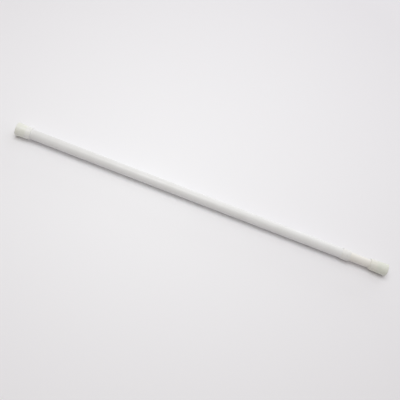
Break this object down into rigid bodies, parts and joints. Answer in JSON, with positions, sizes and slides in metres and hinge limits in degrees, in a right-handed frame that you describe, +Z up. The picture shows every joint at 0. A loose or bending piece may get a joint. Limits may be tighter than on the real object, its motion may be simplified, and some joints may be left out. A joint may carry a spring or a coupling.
{
  "type": "telescopic shower curtain rod",
  "caption": "Telescopic tension rod for a shower curtain: a thin tube slides in a wider one and twists to lock, and a spring presses the flared end caps on two walls.",
  "frame": {"origin": "under the middle of the rod, at the height of the floor that it lies on", "axes": "+X along the rod from the outer tube's end to the inner tube's end, +Z up"},
  "size_m": [0.772, 0.0266, 0.0267],
  "materials": {
    "painted_tube": "glossy white baked enamel",
    "collar_plastic": "smooth white",
    "soft_cap": "milky translucent soft vinyl, satin",
    "nylon": "natural nylon",
    "plated_steel": "zinc plated",
    "spring_steel": "bare oiled wire"
  },
  "bodies": {
    "outer_tube": {"outer_tube": "painted_tube", "tube_collar": "collar_plastic", "outer_end_cap": "soft_cap"},
    "lock_ring": {"lock_ring": "nylon"},
    "lock_core": {"lock_core": "nylon", "stop_washer": "plated_steel", "stop_screw": "plated_steel"},
    "inner_tube": {"inner_tube": "painted_tube", "inner_end_cap": "soft_cap", "guide_bush": "nylon", "spring_seat": "nylon", "compression_spring": "spring_steel"}
  },
  "joints": [
    {"name": "rod_extend", "type": "slide", "parent": "outer_tube", "child": "lock_ring", "axis": [1, 0, 0], "range_m": [-0.018, 0.45]},
    {"name": "lock_twist", "type": "hinge", "parent": "lock_ring", "child": "lock_core", "pos_m": [0, 0, 0.01335], "axis": [1, 0, 0], "range_deg": [0, 55], "deforming": ["lock_ring"]},
    {"name": "spring_push", "type": "slide", "parent": "lock_core", "child": "inner_tube", "axis": [1, 0, 0], "range_m": [-0.02, 0], "stiffness_N_per_m": 2150, "springref_m": 0.01, "deforming": ["compression_spring"]}
  ]
}
